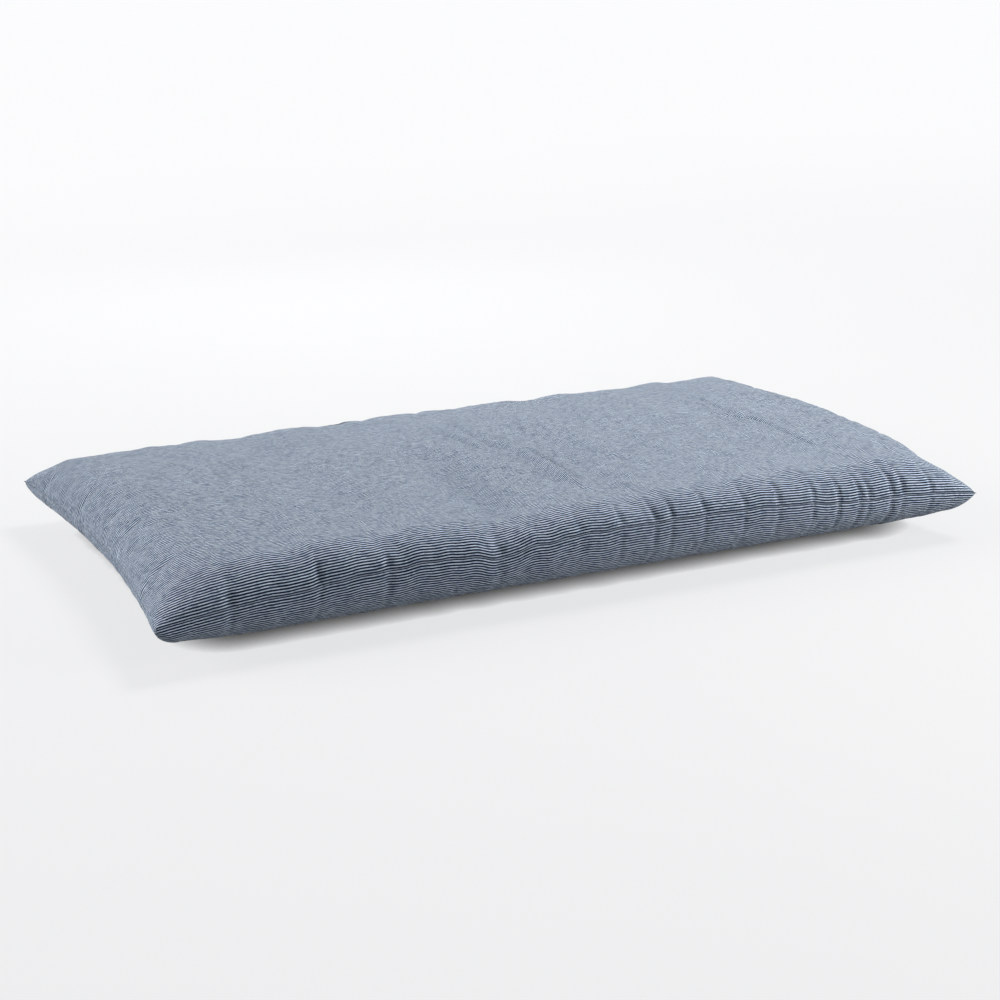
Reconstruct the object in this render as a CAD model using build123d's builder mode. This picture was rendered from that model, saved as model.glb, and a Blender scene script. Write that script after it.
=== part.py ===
"""Futon mattress: a knife-edged ticking cover over a cotton-cased, layered filling.

The mattress folds in half across its length, so every soft piece is made as a head half and a
foot half on either side of the fold line. The zip is in the foot end of the cover.

Origin: centre of the footprint, on the surface that the mattress lies on.
+X points to the foot end, +Y across the width and +Z up. Units are millimetres.
"""

import os

from build123d import *

os.makedirs("parts", exist_ok=True)

# Overall size, tip to tip of the corner ears
length = 1900.0
width = 1030.0
height = 195.0
seam_height = 94.0

# Filled body inside the sewn edge
end_ear = 25.0
side_ear = 15.0
body_length = length - 2 * end_ear
body_width = width - 2 * side_ear
corner_radius = 110.0
top_radius = 74.0
bottom_radius = 60.0
end_bow = 20.0
side_bow = 9.0

# Fold across the middle: the hinge line lies just above the top face
fold_gap = 0.3
fold_axis_height = height + 0.5
halves = {"head": -1, "foot": 1}

# Cover
cover_thickness = 1.5
edge_gap = 0.6
thread_inset = 2.5
thread_width = 1.0

# Inner mattress
cover_clearance = 0.5
end_slack = 5.0
casing_thickness = 1.0
casing_clearance = 0.3
layer_tops = {
    "lower_cotton_wadding": 36.0,
    "lower_foam_sheet": 76.0,
    "middle_cotton_wadding": 119.0,
    "upper_foam_sheet": 159.0,
    "upper_cotton_wadding": height,
}

# Tufting ties of the inner mattress, as distances from the fold line and from the centre line
tie_columns = (235.0, 640.0)
tie_rows = (-260.0, 0.0, 260.0)
dimple_radius = 14.0
dimple_depth = 6.0
twine_radius = 1.0
twine_hole_radius = 1.3
pad_radius = 12.0
pad_thickness = 2.0
knot_radius = 3.0
knot_height = 2.5

# Zip along the foot end, in the seam
zip_half_length = 372.0
slot_half_length = 382.0
edge_stop = 405.0
slot_half_height = 6.0
cut_margin = 1.0
tape_half_length = 386.0
tape_thickness = 1.2
tape_reach = 16.0
coil_inner = 0.9
coil_outer = 3.7
coil_depth = 2.4
coil_rounding = 0.8
stop_length = 4.0
stop_rounding = 0.8
stitch_size = 0.6
stitch_height = 10.5

# Zip slider and pull tab
slider_length = 12.0
slider_half_width = 5.0
plate_thickness = 1.2
plate_corner = 2.5
slider_clearance = 0.3
lip_width = 0.8
lip_depth = 2.2
post_length = 3.0
post_half_width = 0.5
post_inset = 1.0
bail_half_length = 3.2
bail_height = 3.6
bail_half_width = 0.8
bail_corner = 1.2
pivot_height = 1.7
pivot_hole_radius = 1.2
pivot_bar_radius = 0.85
tab_length = 30.0
tab_half_width = 3.5
tab_half_thickness = 0.8
tab_window_length = 5.6
tab_window_half_width = 1.3
tab_hole_radius = 1.75
tab_corner = 2.4

# Blank care label, sewn into the edge beside the zip
label_thickness = 0.6
label_width = 38.0
label_drop = 55.0
label_offset = 3.0
label_centre = 431.0

# Derived places
wall_outer = body_length / 2
wall_inner = wall_outer - cover_thickness
tape_inner = wall_inner - tape_thickness
coil_top = wall_inner + coil_depth
outer_plate_back = coil_top + slider_clearance
outer_plate_front = outer_plate_back + plate_thickness
inner_plate_front = tape_inner - slider_clearance
pivot_x = outer_plate_front + pivot_height
slider_y = zip_half_length - slider_clearance - slider_length / 2
zip_travel = 2 * slider_y
casing_inset = cover_thickness + cover_clearance
filling_inset = casing_inset + casing_thickness + casing_clearance
edge_top = seam_height + edge_gap / 2 + cover_thickness
edge_bottom = seam_height - edge_gap / 2 - cover_thickness


def save(piece, name):
    """Label a finished piece and write it as its own STEP file."""
    piece.part.label = name
    export_step(piece.part, f"parts/{name}.step")


def box_from_to(low, high, mode=Mode.ADD):
    """A box between two corners, in the block that is open."""
    size = [top - bottom for bottom, top in zip(low, high)]
    with Locations(low):
        Box(*size, align=(Align.MIN, Align.MIN, Align.MIN), mode=mode)


def keep_half(side):
    """Cut the open piece at the fold line and keep one half."""
    keep = Keep.TOP if side > 0 else Keep.BOTTOM
    split(bisect_by=Plane.YZ.offset(side * fold_gap / 2), keep=keep)


def pillow(inset, slack=0.0, dimple=0.0):
    """The filled body, every face moved in by inset and its sides by slack as well."""
    side_inset = inset + slack
    with BuildPart() as block:
        with BuildSketch(Plane.XY.offset(inset)):
            RectangleRounded(
                body_length - 2 * side_inset, body_width - 2 * side_inset, corner_radius - side_inset
            )
        extrude(amount=height - 2 * inset)
        fillet(block.faces().sort_by(Axis.Z)[-1].edges(), top_radius - inset)
        fillet(block.faces().sort_by(Axis.Z)[0].edges(), bottom_radius - inset)
        if dimple:
            with Locations(*tie_points(inset)):
                Cylinder(dimple, 2 * dimple_depth, mode=Mode.SUBTRACT)
            with Locations(*tie_points(height - inset)):
                Cylinder(dimple, 2 * dimple_depth, mode=Mode.SUBTRACT)
    return block.part


def tie_points(z, sides=(-1, 1)):
    """Centres of the tufting ties at a height."""
    return [(side * column, row, z) for side in sides for column in tie_columns for row in tie_rows]


def edge_face(inset):
    """The plan of the sewn edge: bowed sides that meet in pointed corners."""
    half_length = length / 2 - inset
    half_width = width / 2 - inset
    with BuildSketch() as plan:
        with BuildLine():
            for side in (-1, 1):
                ThreePointArc(
                    (-half_length, side * half_width), (0, side * (half_width - side_bow)),
                    (half_length, side * half_width),
                )
                ThreePointArc(
                    (side * half_length, -half_width), (side * (half_length - end_bow), 0),
                    (side * half_length, half_width),
                )
        make_face()
    return plan.sketch


edge_plan = edge_face(0.0)
thread_outside = edge_face(thread_inset)
thread_inside = edge_face(thread_inset + thread_width)
cover_outside = pillow(0.0)
cover_inside = pillow(cover_thickness)
casing_outside = pillow(casing_inset, end_slack, dimple_radius)
casing_inside = pillow(casing_inset + casing_thickness, end_slack, dimple_radius + casing_thickness)
filling = pillow(filling_inset, end_slack, dimple_radius + casing_thickness + casing_clearance)


def clear_zip(side):
    """Open the foot end of the cover for the zip, and end the sewn edge beside it."""
    if side > 0:
        box_from_to(
            (wall_inner - cut_margin, -slot_half_length, seam_height - slot_half_height),
            (length / 2, slot_half_length, seam_height + slot_half_height), Mode.SUBTRACT,
        )
        box_from_to(
            (wall_outer, -edge_stop, seam_height - slot_half_height),
            (length / 2, edge_stop, seam_height + slot_half_height), Mode.SUBTRACT,
        )


# Cover: top and bottom panels, and the sewn edge where they meet, with its thread between two layers
for half, side in halves.items():
    with BuildPart() as cover_top:
        add(cover_outside)
        add(cover_inside, mode=Mode.SUBTRACT)
        split(bisect_by=Plane.XY.offset(seam_height), keep=Keep.TOP)
        clear_zip(side)
        keep_half(side)
    save(cover_top, f"cover_top_{half}")

    with BuildPart() as cover_bottom:
        add(cover_outside)
        add(cover_inside, mode=Mode.SUBTRACT)
        split(bisect_by=Plane.XY.offset(seam_height), keep=Keep.BOTTOM)
        clear_zip(side)
        keep_half(side)
    save(cover_bottom, f"cover_bottom_{half}")

    with BuildPart() as sewn_edge:
        for layer_bottom in (edge_bottom, edge_top - cover_thickness):
            with BuildSketch(Plane.XY.offset(layer_bottom)):
                add(edge_plan)
                RectangleRounded(body_length, body_width, corner_radius, mode=Mode.SUBTRACT)
            extrude(amount=cover_thickness)
        clear_zip(side)
        keep_half(side)
    save(sewn_edge, f"sewn_edge_{half}")

    with BuildPart() as edge_thread:
        with BuildSketch(Plane.XY.offset(seam_height - edge_gap / 2)):
            add(thread_outside)
            add(thread_inside, mode=Mode.SUBTRACT)
        extrude(amount=edge_gap)
        clear_zip(side)
        keep_half(side)
    save(edge_thread, f"edge_thread_{half}")

# Inner mattress: cotton casing in a top and a bottom sheet, with holes for the ties
for half, side in halves.items():
    for sheet, keep in {"top": Keep.TOP, "bottom": Keep.BOTTOM}.items():
        with BuildPart() as casing:
            add(casing_outside)
            add(casing_inside, mode=Mode.SUBTRACT)
            split(bisect_by=Plane.XY.offset(seam_height), keep=keep)
            keep_half(side)
            with Locations(*tie_points(height / 2, (side,))):
                Cylinder(twine_hole_radius, height, mode=Mode.SUBTRACT)
        save(casing, f"inner_casing_{sheet}_{half}")

# Inner mattress: five flat layers of filling
for half, side in halves.items():
    layer_bottom = 0.0
    for layer, layer_top in layer_tops.items():
        with BuildPart() as wadding:
            add(filling)
            box_from_to(
                (-length / 2, -width / 2, layer_bottom), (length / 2, width / 2, layer_top), Mode.INTERSECT
            )
            keep_half(side)
            with Locations(*tie_points(height / 2, (side,))):
                Cylinder(twine_hole_radius, height, mode=Mode.SUBTRACT)
        save(wadding, f"{layer}_{half}")
        layer_bottom = layer_top

# Tufting ties: a twine through all layers, knotted on a felt pad at each face
floor_z = casing_inset + dimple_depth
ceiling_z = height - floor_z
for half, side in halves.items():
    with BuildPart() as pads:
        for z in (floor_z - pad_thickness / 2, ceiling_z + pad_thickness / 2):
            with Locations(*tie_points(z, (side,))):
                Cylinder(pad_radius, pad_thickness)
                Cylinder(twine_hole_radius, pad_thickness, mode=Mode.SUBTRACT)
    save(pads, f"tuft_pads_{half}")

    knot_reach = pad_thickness + knot_height
    with BuildPart() as ties:
        with Locations(*tie_points(height / 2, (side,))):
            Cylinder(twine_radius, ceiling_z - floor_z + 2 * knot_reach)
        for z in (floor_z - pad_thickness - knot_height / 2, ceiling_z + pad_thickness + knot_height / 2):
            with Locations(*tie_points(z, (side,))):
                Cylinder(knot_radius, knot_height)
    save(ties, f"tuft_ties_{half}")

# Zip: one tape and one coil above the seam, and the same below it
for name, side in {"upper": 1, "lower": -1}.items():
    with BuildPart() as tape:
        edges = sorted((seam_height + side * coil_inner, seam_height + side * tape_reach))
        box_from_to((tape_inner, -tape_half_length, edges[0]), (wall_inner, tape_half_length, edges[1]))
    save(tape, f"zip_tape_{name}")

    with BuildPart() as coil:
        edges = sorted((seam_height + side * coil_inner, seam_height + side * coil_outer))
        box_from_to((wall_inner, -zip_half_length, edges[0]), (coil_top, zip_half_length, edges[1]))
        fillet(coil.faces().sort_by(Axis.X)[-1].edges().filter_by(Axis.Y), coil_rounding)
    save(coil, f"zip_coil_{name}")

# Stop pieces at the two ends of the zip
with BuildPart() as top_stops:
    for side in (-1, 1):
        edges = sorted((seam_height + side * coil_inner, seam_height + side * coil_outer))
        box_from_to(
            (wall_inner, zip_half_length, edges[0]),
            (coil_top, zip_half_length + stop_length, edges[1]),
        )
save(top_stops, "zip_top_stops")

with BuildPart() as bottom_stop:
    box_from_to(
        (wall_inner, -zip_half_length - stop_length, seam_height - coil_outer),
        (coil_top, -zip_half_length, seam_height + coil_outer),
    )
    fillet(bottom_stop.edges().filter_by(Axis.X), stop_rounding)
save(bottom_stop, "zip_bottom_stop")

# The two rows of stitches that hold the tapes
with BuildPart() as stitching:
    for side in (-1, 1):
        with Locations((wall_outer + stitch_size / 2, 0, seam_height + side * stitch_height)):
            Box(stitch_size, 2 * slot_half_length, stitch_size)
save(stitching, "zip_stitching")

# Slider: two plates joined by a post between the coils, with a bail for the pull tab
slider_bottom = slider_y - slider_length / 2
slider_top = slider_y + slider_length / 2
with BuildPart() as slider:
    for back in (inner_plate_front - plate_thickness, outer_plate_back):
        with BuildSketch(Plane.YZ.offset(back)):
            with Locations((slider_y, seam_height)):
                RectangleRounded(slider_length, 2 * slider_half_width, plate_corner)
        extrude(amount=plate_thickness)
    box_from_to(
        (inner_plate_front, slider_top - post_length - post_inset, seam_height - post_half_width),
        (outer_plate_back, slider_top - post_inset, seam_height + post_half_width),
    )
    for side in (-1, 1):
        lip_span = (slider_half_width - lip_width, slider_half_width)
        edges = sorted(seam_height + side * reach for reach in lip_span)
        box_from_to(
            (outer_plate_back - lip_depth, slider_bottom + plate_corner, edges[0]),
            (outer_plate_back, slider_top - plate_corner, edges[1]),
        )
    with BuildSketch(Plane.XY.offset(seam_height - bail_half_width)):
        with Locations((outer_plate_front + bail_height / 2, slider_y)):
            RectangleRounded(bail_height, 2 * bail_half_length, bail_corner)
        with Locations((outer_plate_front + bail_corner / 2, slider_y)):
            Rectangle(bail_corner, 2 * bail_half_length)
        with Locations((pivot_x, slider_y)):
            Circle(pivot_hole_radius, mode=Mode.SUBTRACT)
    extrude(amount=2 * bail_half_width)
save(slider, "zip_slider")

# Pull tab: a flat plate whose cross bar passes through the bail
with BuildPart() as pull_tab:
    with BuildSketch(Plane.YZ.offset(pivot_x - tab_half_thickness)):
        with Locations((slider_y - tab_length / 2, seam_height)):
            Rectangle(tab_length, 2 * tab_half_width)
        with Locations((slider_y - tab_window_length / 2, seam_height)):
            Rectangle(tab_window_length, 2 * tab_window_half_width, mode=Mode.SUBTRACT)
        with Locations((slider_y - tab_length + tab_half_width, seam_height)):
            Circle(tab_hole_radius, mode=Mode.SUBTRACT)
    extrude(amount=2 * tab_half_thickness)
    fillet(pull_tab.edges().filter_by(Axis.X).group_by(Axis.Y)[0], tab_corner)
    with BuildSketch(Plane.XY.offset(seam_height - tab_half_width)):
        with Locations((pivot_x, slider_y)):
            Circle(pivot_bar_radius)
    extrude(amount=2 * tab_half_width)
save(pull_tab, "zip_pull_tab")

# Blank care label, hanging from the edge beside the zip
with BuildPart() as label:
    box_from_to(
        (wall_outer + label_offset, label_centre - label_width / 2, edge_bottom - label_drop),
        (wall_outer + label_offset + label_thickness, label_centre + label_width / 2, edge_bottom),
    )
save(label, "care_label")

print(f"fold axis height {fold_axis_height:.2f}")
print(f"zip slider y {slider_y:.2f}, travel {zip_travel:.2f}, pivot x {pivot_x:.2f}")
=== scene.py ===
"""The looks of the futon mattress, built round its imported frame. Units are metres."""

import math

import bpy
import numpy as np
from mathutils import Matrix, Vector


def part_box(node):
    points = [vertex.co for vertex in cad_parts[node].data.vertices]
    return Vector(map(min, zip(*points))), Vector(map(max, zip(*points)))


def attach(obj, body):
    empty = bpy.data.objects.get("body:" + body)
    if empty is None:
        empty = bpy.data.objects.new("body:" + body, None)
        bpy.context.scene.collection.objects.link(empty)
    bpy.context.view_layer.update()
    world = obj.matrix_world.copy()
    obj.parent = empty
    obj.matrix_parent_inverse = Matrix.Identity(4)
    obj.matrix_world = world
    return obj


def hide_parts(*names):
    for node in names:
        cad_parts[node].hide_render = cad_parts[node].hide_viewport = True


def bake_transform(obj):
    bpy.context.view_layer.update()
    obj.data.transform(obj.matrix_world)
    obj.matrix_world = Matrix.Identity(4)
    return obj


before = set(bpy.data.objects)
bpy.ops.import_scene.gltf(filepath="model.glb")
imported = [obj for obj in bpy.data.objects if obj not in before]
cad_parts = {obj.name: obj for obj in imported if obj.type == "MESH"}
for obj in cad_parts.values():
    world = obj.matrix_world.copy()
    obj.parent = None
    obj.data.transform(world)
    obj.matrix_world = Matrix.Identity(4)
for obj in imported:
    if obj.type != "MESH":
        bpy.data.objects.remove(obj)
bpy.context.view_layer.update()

# ---------------------------------------------------------------- sizes, from the frame

thread_low, thread_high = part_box("edge_thread_foot")
stitch_low, stitch_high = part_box("zip_stitching")

HALF_LENGTH, HALF_WIDTH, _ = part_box("sewn_edge_foot")[1]
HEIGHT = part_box("cover_top_foot")[1][2]
SEAM = (thread_low[2] + thread_high[2]) / 2
WALL_X = stitch_low[0]
ZIP_HALF = stitch_high[1]

# ---------------------------------------------------------------- driving values

# How far in from the sewn edge each face reaches its full height
NEAR_ROLL, FAR_ROLL = 0.080, 0.100
HEAD_ROLL, FOOT_ROLL = 0.125, 0.110
UNDER_ROLL = 0.050

# Roundness of the rolled edges: 2 is an ellipse, more is squarer
TOP_POWER, UNDER_POWER = 2.0, 2.2

# Share of the top's height that is missing at a corner, and how far from the corner that reaches
NEAR_CORNER_DROP, FAR_CORNER_DROP, CORNER_REACH = 0.50, 0.12, 0.20

# How far the underside rises at its edges, and how far in from the edge it meets the floor
EDGE_RISE, UNDER_REACH = 0.052, 0.20

# Crown of the top face, fullest towards the near side; LEVEL leaves room for its waves
LEVEL, CROWN, CROWN_AT, CROWN_HALF = 0.985, 0.155, -0.22, 0.65
CREST_WAVE = 0.0022

# How far the sides draw in between the corners, and the stretch of the foot end along the zip
SIDE_BOW, END_BOW, FOOT_STRAIGHT = 0.0141, 0.039, 0.40

# Height of the sewn edge above the corners' ears, and its dips on the near side: place, depth, half width
SEAM_LIFT, SEAM_WAVE = 0.046, 0.0014
SEAM_DIPS = ((-0.233, 0.019, 0.07), (-0.12, 0.004, 0.06), (0.62, 0.009, 0.12), (-0.66, 0.005, 0.05))

# Grid of the cover's panels along and across, its groove beside the seam, and the thickness of its cloth
LENGTH_PITCH, WIDTH_PITCH = 0.0046, 0.0078
GROOVE_DEPTH, GROOVE_WIDTH = 0.0016, 0.0035
FABRIC = 0.0014

# Ticking: width of a dark and a light stripe together, and the shares of it between which dark turns to light
STRIPE_PITCH = 0.0059
LIGHT_FROM, LIGHT_FULL = 0.29, 0.36
TWILL_PITCH, YARN_PITCH = 0.0013, 0.0011
PALE_YARN = ((0.38, 0.49, 0.66, 1), (0.72, 0.84, 1.0, 1))
DARK_YARN = ((0.003, 0.007, 0.021, 1), (0.026, 0.044, 0.086, 1))
WORN_YARN = (0.27, 0.33, 0.42, 1)

# Thread and its stitches
THREAD_RADIUS = 0.0005
STITCH_LENGTH = 0.0032

# Slot of the zip: half its height, and the grid rows of the panel beside it that a stitch can lie on
SLOT_HALF = 0.006
WALL_ROWS = 23

# Zip: radius and pitch of the coils, half the gap between them, the tapes' ribs, how far their ends tuck in
COIL_WIRE, COIL_PITCH, COIL_PART = 0.00034, 0.0015, 0.00058
RIB_HEIGHT, RIB_PITCH = 0.00012, 0.0024
TAPE_TUCK = 0.004

# Care label: its thickness, and how far its free end curls away from the cover
LABEL_THICKNESS = 0.0005
LABEL_CURL = 0.0045

# Inner casing: how far inside the cover's edge and faces it lies, its thickness and its grid
CASING_INSET, CASING_DROP = 0.016, 0.0110
CASING_THICKNESS = 0.0009
CASING_PITCHES = (0.012, 0.014)

# Filling: how far inside the cover's edge and faces it lies, its grid, half the gap and the bulge of a layer
FILLING_INSET, FILLING_DROP = 0.072, 0.0170
FILLING_ROWS, FILLING_COLUMNS = 121, 65
LAYER_GAP = 0.0004
LAYER_BULGE = 0.003

# Layers of the filling: name, and the shares of its height between which each lies
LAYERS = (
    ("lower_cotton_wadding", 0.0, 0.18), ("lower_foam_sheet", 0.18, 0.39),
    ("middle_cotton_wadding", 0.39, 0.61), ("upper_foam_sheet", 0.61, 0.82),
    ("upper_cotton_wadding", 0.82, 1.0),
)

# Tufting ties: the dimple that each pulls into the casing, its felt pads, its twine and knots
DIMPLE_DEPTH, DIMPLE_REACH = 0.005, 0.018
PAD_RADIUS, PAD_THICKNESS = 0.012, 0.002
TWINE_RADIUS, TWIST_PITCH = 0.001, 0.006
KNOT_SIZE = 0.0024

# Dips across the top face: place along the length, depth at the far side, depth at the near side, half width
DIPS = (
    (-0.46, 0.010, 0.003, 0.055), (-0.19, 0.012, 0.019, 0.085), (0.097, 0.010, 0.007, 0.055),
    (0.323, 0.010, 0.004, 0.050), (0.62, 0.004, 0.009, 0.090),
)

# Creases on the top face: start, end, half width, height (a valley is negative)
CREASES = (
    ((-0.046, 0.30), (-0.038, 0.02), 0.008, -0.0050),
    ((0.020, 0.31), (-0.002, 0.00), 0.008, -0.0055),
    ((-0.015, 0.28), (-0.022, 0.05), 0.012, 0.0040),
    ((0.042, 0.05), (0.034, -0.34), 0.011, 0.0085),
    ((0.072, -0.02), (0.062, -0.30), 0.010, -0.0060),
    ((0.010, 0.02), (0.002, -0.33), 0.022, -0.0080),
    ((-0.215, -0.06), (-0.250, -0.43), 0.012, 0.0060),
    ((-0.160, -0.08), (-0.190, -0.40), 0.040, -0.0050),
    ((0.150, 0.10), (0.170, -0.25), 0.030, -0.0045),
    ((0.215, 0.12), (0.225, -0.20), 0.018, 0.0035),
    ((0.680, 0.24), (0.662, 0.02), 0.0055, -0.0055),
    ((0.672, 0.02), (0.683, -0.10), 0.0055, -0.0060),
    ((0.683, -0.06), (0.640, 0.03), 0.0055, -0.0050),
    ((0.683, -0.08), (0.677, -0.30), 0.0055, -0.0060),
)

# Puckers at the sewn edges: place, half width, depth
NEAR_PUCKERS = (
    (-0.80, 0.010, 0.006), (-0.62, 0.007, 0.005), (-0.475, 0.008, 0.006), (-0.235, 0.012, 0.005),
    (-0.05, 0.007, 0.004), (0.045, 0.006, 0.005), (0.125, 0.006, 0.007), (0.165, 0.005, 0.008),
    (0.245, 0.006, 0.007), (0.345, 0.006, 0.006), (0.43, 0.006, 0.006), (0.520, 0.005, 0.006),
    (0.585, 0.005, 0.009), (0.640, 0.005, 0.009), (0.665, 0.005, 0.006), (0.725, 0.006, 0.010),
    (0.755, 0.005, 0.008), (0.83, 0.006, 0.006),
)
FAR_PUCKERS = ((-0.66, 0.009, 0.004), (-0.30, 0.008, 0.004), (0.02, 0.010, 0.005), (0.51, 0.009, 0.004))
END_PUCKERS = ((-0.36, 0.008, 0.004), (-0.12, 0.009, 0.003), (0.17, 0.008, 0.004), (0.39, 0.007, 0.003))

# Slow lumps all over a panel, and the most that lumps, creases and puckers together stand off the plain form
LUMP_HEIGHT = 0.0008
RELIEF_LIMIT = 0.011

# Cloth simulation: frames, ease sewn into the edges and the faces, the furthest that a point may move
SETTLE_FRAMES = 20
EDGE_EASE = 0.045
FACE_EASE = 0.006
MOVE_LIMIT = 0.0045

# The view: angles in degrees, distances in metres, focal length as a share of the image's width
SENSOR = 36.0
FOCAL_RATIO = 1.951
VIEW_AZIMUTH = 26.156
VIEW_ELEVATION = 17.912
VIEW_DISTANCE = 4.484
VIEW_CENTRE = (0.030, 0.0388, 0.0475)

# Studio: light from all round, the backdrop's colour, half the floor's size
WORLD_LIGHT, WORLD_COLOR = 0.16, (0.86, 0.93, 1.0, 1)
BACKDROP_COLOR = (0.93, 0.94, 0.955, 1)
FLOOR_REACH = 70.0

# The floor's own painted light at its near and far places, the share of it that lights the object, its
# painted contact shadow
FLOOR_GLOW, GLOW_FROM, GLOW_TO = (0.70, 0.84), -4.0, 6.0
FLOOR_BOUNCE = 0.3
FLOOR_CONTACT = 0.035

# Suns: name, strength, soft angle, azimuth (0 is +Y, 90 is +X), elevation, colour
LAMPS = (
    ("key", 2.1, 18, 62, 50, (1.0, 0.99, 0.97)),
    ("left", 4.0, 44, -62, 15, (1.0, 0.98, 0.97)),
)

# Soft boxes: name, power, size, place, aim, colour
PANELS = (
    ("right_front", 80.0, 1.6, (2.6, -2.0, 1.1), (0.7, -0.5, 0.1), (1.0, 0.99, 0.98)),
    ("back", 22.0, 2.0, (0.6, 2.4, 1.7), (0.0, 0.2, 0.1), (0.97, 0.99, 1.0)),
)


# ---------------------------------------------------------------- form

def smooth(t):
    """Smooth step from 0 to 1."""
    t = np.clip(t, 0.0, 1.0)
    return t * t * (3.0 - 2.0 * t)


def bump(t):
    """A smooth bump of height 1 at t = 0."""
    return np.exp(-t * t)


def ridge(x, y, start, end, width, ends=0.25):
    """A soft ridge of height 1 along a line from start to end, fading at both ends."""
    sx, sy = start
    dx, dy = end[0] - sx, end[1] - sy
    span = math.hypot(dx, dy)
    along = ((x - sx) * dx + (y - sy) * dy) / span
    aside = ((x - sx) * dy - (y - sy) * dx) / span
    fade = smooth(along / (ends * span) + 0.5) * smooth((span - along) / (ends * span) + 0.5)
    return bump(aside / width) * fade


def ripples(x, y, count, low, high, lean, seed):
    """A sum of sine waves with wavelengths between low and high; lean turns them from across to along."""
    draw = np.random.default_rng(seed)
    total = np.zeros_like(x)
    for _ in range(count):
        wave = draw.uniform(low, high)
        heading = draw.normal(0.0, lean)
        phase = draw.uniform(0.0, 2 * math.pi)
        total += np.sin(2 * math.pi * (x * math.cos(heading) + y * math.sin(heading)) / wave + phase)
    return total / math.sqrt(count)


def roll_stations(reach, pitch):
    """Distances in from a sewn edge, close together where the cloth stands steep."""
    angle = np.linspace(0.0, math.pi / 2, 2 * round(0.75 * math.hypot(reach, SEAM) / pitch) + 1)
    return reach * (1.0 - np.cos(angle))


def line_stations(half, first_reach, last_reach, pitch):
    """Places from -half to half: close together where the cloth rolls over an edge, even between."""
    first, last = roll_stations(first_reach, pitch), roll_stations(last_reach, pitch)
    span = 2 * half - first_reach - last_reach
    middle = np.linspace(first_reach, first_reach + span, 2 * round(span / pitch / 2) + 1)
    return np.concatenate([first, middle[1:-1], 2 * half - last[::-1]]) - half


def plan_grid(length_pitch, width_pitch):
    """Plan places over the whole cover."""
    x = line_stations(HALF_LENGTH, HEAD_ROLL, FOOT_ROLL, length_pitch)
    y = line_stations(HALF_WIDTH, NEAR_ROLL, FAR_ROLL, width_pitch)
    return np.meshgrid(x, y, indexing="ij")


def seam_height(x, y, side):
    """Height of the sewn edge: higher along the middle of the sides, parted by the zip at the foot end."""
    sag = 1.0 - np.abs(x / HALF_LENGTH) ** 2.4
    height = SEAM + SEAM_LIFT * sag
    for at, depth, width in SEAM_DIPS:
        height = height - depth * bump((x - at) / width) * smooth(0.5 - y)
    waves = ripples(x, np.zeros_like(x), 5, 0.05, 0.19, 0.0, 3)
    height = height + SEAM_WAVE * waves * np.abs(y / HALF_WIDTH) ** 3 * sag
    slot = smooth((ZIP_HALF - np.abs(y)) / 0.014) * smooth((x - 0.6) / 0.3)
    return height + side * SLOT_HALF * slot


def plan(x, y):
    """Draw the sides in between the corners; the foot end is straight along the zip."""
    wide = y * (1.0 - SIDE_BOW / HALF_WIDTH * (1.0 - np.abs(x / HALF_LENGTH) ** 4))
    head = 1.0 - END_BOW / HALF_LENGTH * (1.0 - (y / HALF_WIDTH) ** 2)
    straight = 1.0 - smooth((np.abs(y) - FOOT_STRAIGHT) / (HALF_WIDTH - FOOT_STRAIGHT))
    foot = 1.0 - (HALF_LENGTH - WALL_X) / HALF_LENGTH * straight
    return x * np.where(x < 0, head, foot), wide


def crest_height(x, y):
    """Height of the top face: crowned, with slow waves and dips across the width."""
    crest = HEIGHT * (LEVEL - CROWN * ((y - CROWN_AT) / CROWN_HALF) ** 2)
    near = smooth(0.5 - 1.2 * y)
    for at, far_depth, near_depth, width in DIPS:
        crest = crest - (far_depth + (near_depth - far_depth) * near) * bump((x - at) / width)
    return crest + CREST_WAVE * ripples(x, y, 9, 0.14, 0.38, 0.35, 11)


def fullness(side, x, y):
    """Share of the full height, from 0 at the sewn edge to 1."""
    power = TOP_POWER if side > 0 else UNDER_POWER
    share = np.ones_like(x)
    for run, reach in (
        (HALF_LENGTH + x, HEAD_ROLL), (HALF_LENGTH - x, FOOT_ROLL),
        (HALF_WIDTH + y, NEAR_ROLL), (HALF_WIDTH - y, FAR_ROLL),
    ):
        short = np.clip(1.0 - run / (reach if side > 0 else UNDER_ROLL), 0.0, 1.0)
        share = share * (1.0 - short ** power) ** (1.0 / power)
    if side > 0:
        from_corner = HALF_LENGTH - np.abs(x) + HALF_WIDTH - np.abs(y)
        drop = np.where(y < 0, NEAR_CORNER_DROP, FAR_CORNER_DROP)
        share = share * (1.0 - drop * bump(from_corner / CORNER_REACH))
    return share


def underside(x, y):
    """Height of the underside: it lies on the floor in the middle and curves up towards the sewn edges."""
    flat = np.ones_like(x)
    for run in (HALF_LENGTH + x, HALF_LENGTH - x, HALF_WIDTH + y, HALF_WIDTH - y):
        share = np.clip(run / UNDER_REACH, 0.0, 1.0)
        flat = flat * share * (1.25 - 0.25 * share ** 4)
    return EDGE_RISE * (1.0 - flat)


def face(side, x, y):
    """The top (side 1) or bottom (side -1) face of the stuffed form, over plan places x, y."""
    seam = seam_height(x, y, side)
    level = crest_height(x, y) if side > 0 else underside(x, y)
    z = seam + (level - seam) * fullness(side, x, y)
    return np.stack([*plan(x, y), z], axis=-1)


def grid_normals(points, side):
    """Unit normals of a grid of points, outwards for the top (side 1) or bottom (side -1) face."""
    normal = np.cross(np.gradient(points, axis=0), np.gradient(points, axis=1)) * side
    return normal / np.maximum(np.linalg.norm(normal, axis=-1, keepdims=True), 1e-12)


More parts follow.
